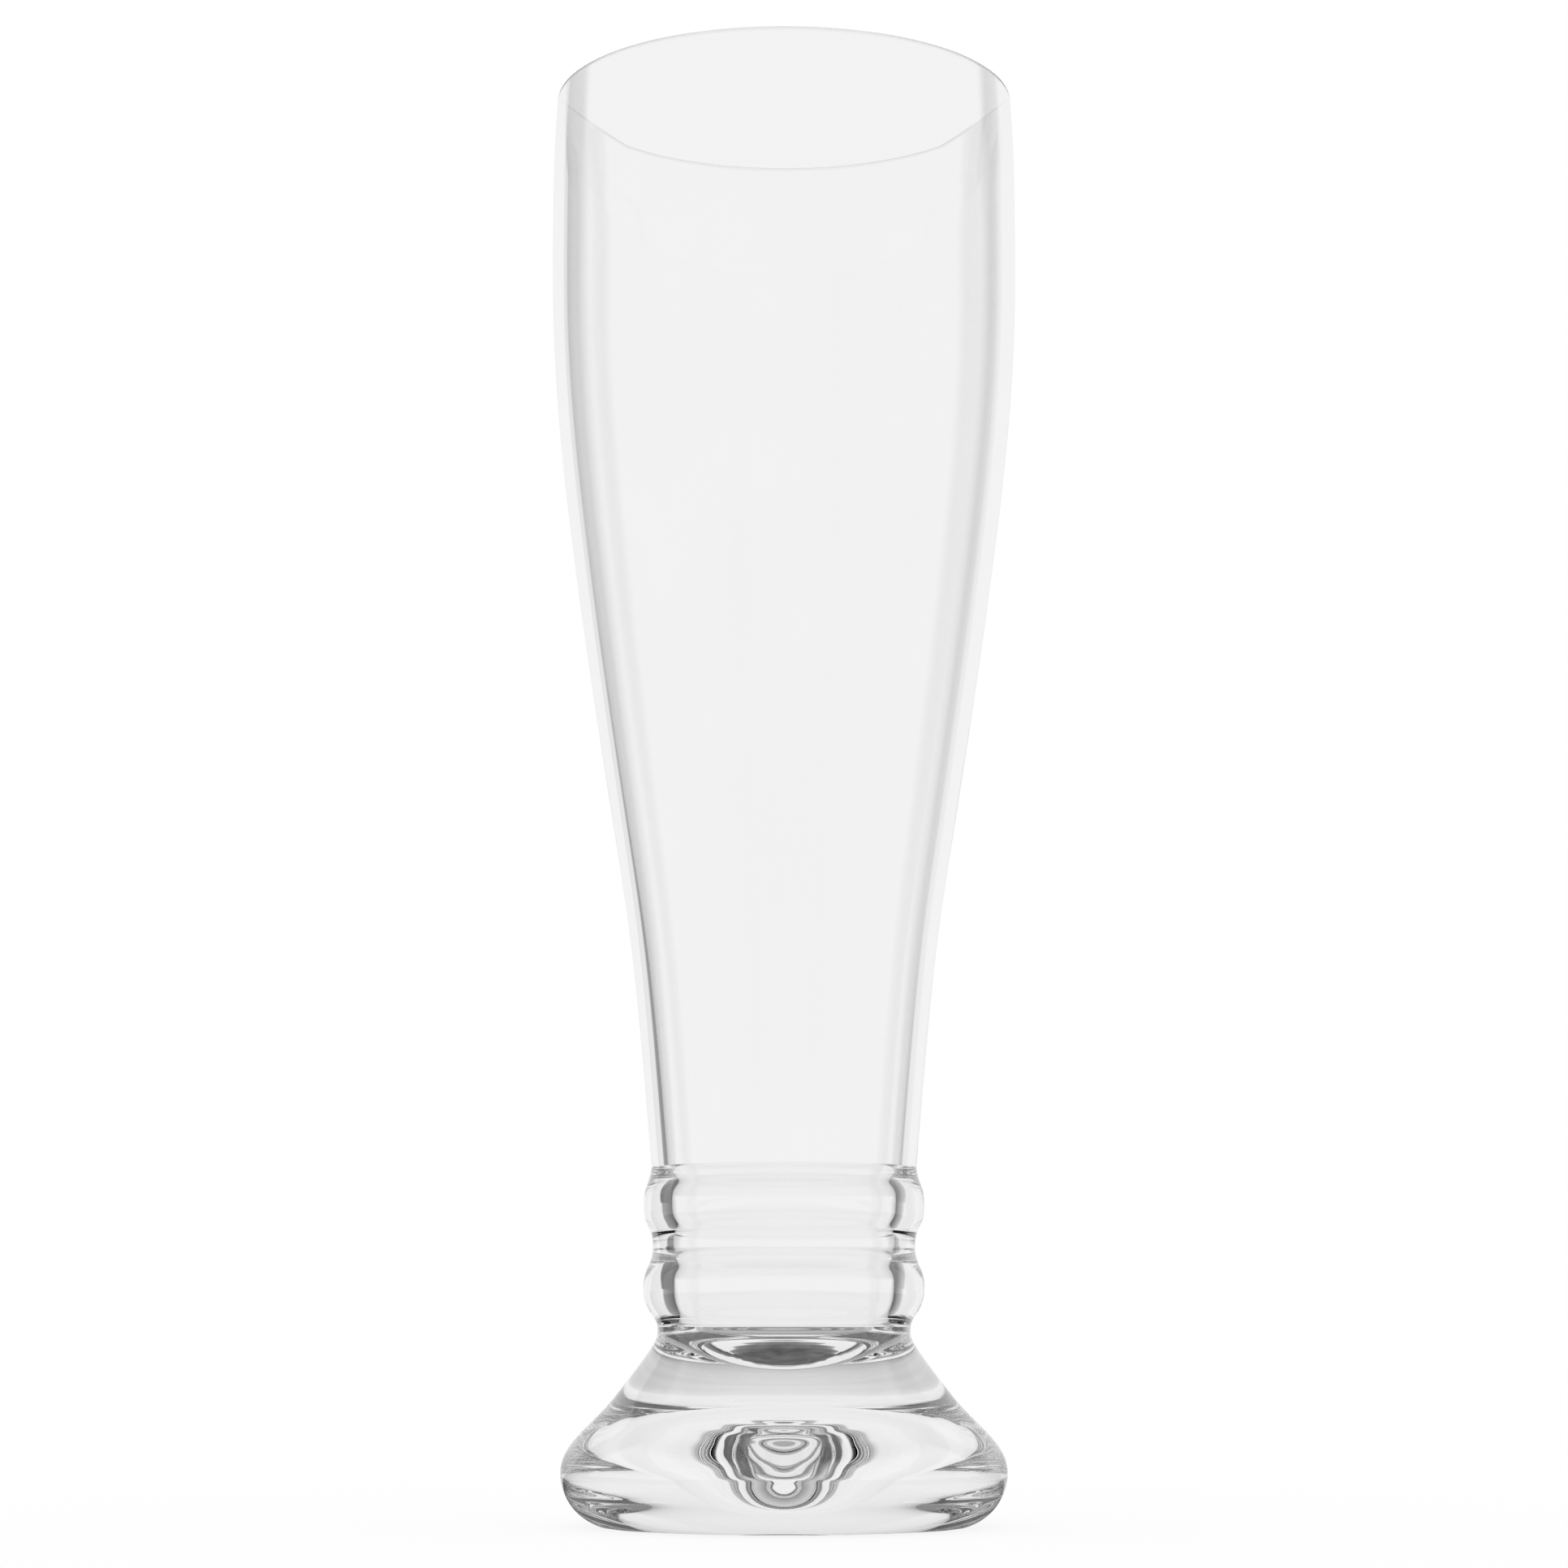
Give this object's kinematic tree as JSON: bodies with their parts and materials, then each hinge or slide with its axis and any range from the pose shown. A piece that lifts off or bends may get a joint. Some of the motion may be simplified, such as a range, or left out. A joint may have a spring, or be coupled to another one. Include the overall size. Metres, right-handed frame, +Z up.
{
  "type": "wheat beer glass",
  "caption": "Tall clear wheat beer glass: bowl widest near the rim, tapering to moulded rings over a thick flared foot with a domed punt. Holds a beer with its foam.",
  "frame": {"origin": "centre of the resting face under the foot", "axes": "+Z up along the axis of the glass, X and Y level; the glass is round, so any side is its front"},
  "size_m": [0.082, 0.082, 0.25],
  "materials": {
    "clear_glass": "polished clear"
  },
  "bodies": {
    "root": {"bowl": "clear_glass", "upper_ring": "clear_glass", "lower_ring": "clear_glass", "foot": "clear_glass"}
  },
  "joints": []
}
